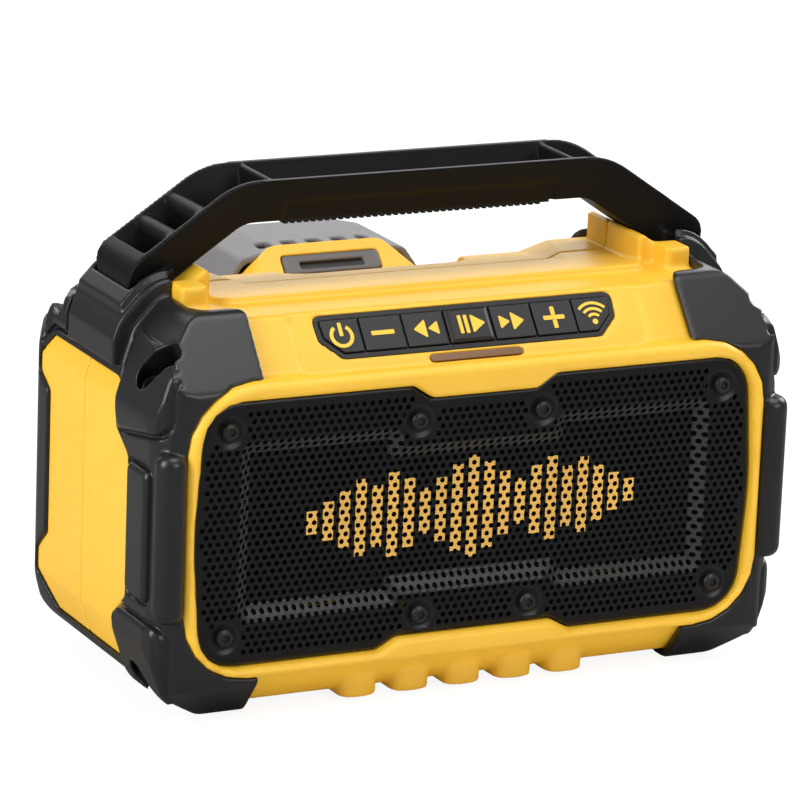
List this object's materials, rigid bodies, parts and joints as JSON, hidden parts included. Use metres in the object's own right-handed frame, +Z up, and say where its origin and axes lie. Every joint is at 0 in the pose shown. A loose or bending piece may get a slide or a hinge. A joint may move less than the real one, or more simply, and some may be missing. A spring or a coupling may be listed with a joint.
{
  "type": "jobsite bluetooth speaker",
  "caption": "Rugged box speaker with a perforated front grille, wrap-round corner bumpers, a fixed carrying handle, slanted front keys and a slide-on battery pack at the rear.",
  "frame": {"origin": "on the floor, under the middle of the whole object with its battery pack on", "axes": "+X to the right seen from the front, +Y to the rear, +Z up; the grille faces -Y"},
  "size_m": [0.265, 0.1896, 0.192],
  "materials": {
    "yellow_plastic": "fine moulded texture, satin",
    "bumper_rubber": "satin, softly moulded",
    "handle_plastic": "satin",
    "soft_rubber": "matt",
    "grille_steel": "semi-gloss black paint",
    "screw_steel": "blackened",
    "key_plastic": "satin",
    "lens_plastic": "smoked, gloss",
    "circuit_board": "solder resist",
    "black_plastic": "matt",
    "bare_metal": "as made",
    "contact_metal": "plated",
    "grey_plastic": "satin"
  },
  "bodies": {
    "body": {"front_housing": "yellow_plastic", "rear_housing": "yellow_plastic", "left_bumper": "bumper_rubber", "right_bumper": "bumper_rubber", "handle": "handle_plastic", "handle_grip": "soft_rubber", "housing_seal": "soft_rubber", "left_gasket": "soft_rubber", "right_gasket": "soft_rubber", "left_surround": "soft_rubber", "right_surround": "soft_rubber", "grille": "grille_steel", "bumper_screws": "screw_steel", "housing_screws": "screw_steel", "handle_screws": "screw_steel", "grille_screws": "screw_steel", "driver_screws": "screw_steel", "keypad_base": "key_plastic", "status_lens": "lens_plastic", "key_board": "circuit_board", "main_board": "circuit_board", "wireless_module": "circuit_board", "key_switches": "black_plastic", "left_driver_frame": "black_plastic", "right_driver_frame": "black_plastic", "board_capacitors": "black_plastic", "terminal_block": "black_plastic", "aux_socket": "black_plastic", "power_socket": "black_plastic", "baffle_trim": "black_plastic", "left_magnet": "bare_metal", "right_magnet": "bare_metal", "heat_sink": "bare_metal", "terminal_blades": "contact_metal"},
    "key_power": {"key_power": "key_plastic"},
    "key_volume_down": {"key_volume_down": "key_plastic"},
    "key_back": {"key_back": "key_plastic"},
    "key_play": {"key_play": "key_plastic"},
    "key_forward": {"key_forward": "key_plastic"},
    "key_volume_up": {"key_volume_up": "key_plastic"},
    "key_pairing": {"key_pairing": "key_plastic"},
    "battery_pack": {"pack_shell": "yellow_plastic", "pack_base": "grey_plastic", "pack_cells": "bare_metal", "pack_cell_frame": "black_plastic", "pack_contacts": "contact_metal", "pack_screws": "screw_steel"},
    "release_button": {"pack_button": "grey_plastic"},
    "left_diaphragm": {"left_cone": "black_plastic", "left_dust_cap": "black_plastic"},
    "right_diaphragm": {"right_cone": "black_plastic", "right_dust_cap": "black_plastic"},
    "rear_cover": {"socket_cover": "soft_rubber"}
  },
  "joints": [
    {"name": "key_power_press", "type": "slide", "parent": "body", "child": "key_power", "axis": [0, 0.766, -0.6428], "range_m": [0, 0.0008], "stiffness_N_per_m": 300, "springref_m": -0.0004},
    {"name": "key_volume_down_press", "type": "slide", "parent": "body", "child": "key_volume_down", "axis": [0, 0.766, -0.6428], "range_m": [0, 0.0008], "stiffness_N_per_m": 300, "springref_m": -0.0004},
    {"name": "key_back_press", "type": "slide", "parent": "body", "child": "key_back", "axis": [0, 0.766, -0.6428], "range_m": [0, 0.0008], "stiffness_N_per_m": 300, "springref_m": -0.0004},
    {"name": "key_play_press", "type": "slide", "parent": "body", "child": "key_play", "axis": [0, 0.766, -0.6428], "range_m": [0, 0.0008], "stiffness_N_per_m": 300, "springref_m": -0.0004},
    {"name": "key_forward_press", "type": "slide", "parent": "body", "child": "key_forward", "axis": [0, 0.766, -0.6428], "range_m": [0, 0.0008], "stiffness_N_per_m": 300, "springref_m": -0.0004},
    {"name": "key_volume_up_press", "type": "slide", "parent": "body", "child": "key_volume_up", "axis": [0, 0.766, -0.6428], "range_m": [0, 0.0008], "stiffness_N_per_m": 300, "springref_m": -0.0004},
    {"name": "key_pairing_press", "type": "slide", "parent": "body", "child": "key_pairing", "axis": [0, 0.766, -0.6428], "range_m": [0, 0.0008], "stiffness_N_per_m": 300, "springref_m": -0.0004},
    {"name": "pack_slide", "type": "slide", "parent": "body", "child": "battery_pack", "axis": [0, 0, 1], "range_m": [0, 0.08]},
    {"name": "release_press", "type": "slide", "parent": "battery_pack", "child": "release_button", "axis": [0, 0.722, -0.6919], "range_m": [0, 0.002], "stiffness_N_per_m": 400, "springref_m": -0.0006},
    {"name": "left_cone_travel", "type": "slide", "parent": "body", "child": "left_diaphragm", "axis": [0, 1, 0], "range_m": [-0.0015, 0.0015], "stiffness_N_per_m": 1500},
    {"name": "right_cone_travel", "type": "slide", "parent": "body", "child": "right_diaphragm", "axis": [0, 1, 0], "range_m": [-0.0015, 0.0015], "stiffness_N_per_m": 1500},
    {"name": "cover_hinge", "type": "hinge", "parent": "body", "child": "rear_cover", "pos_m": [-0.082, 0.02852, 0.06035], "axis": [1, 0, 0], "range_deg": [0, 95]}
  ]
}
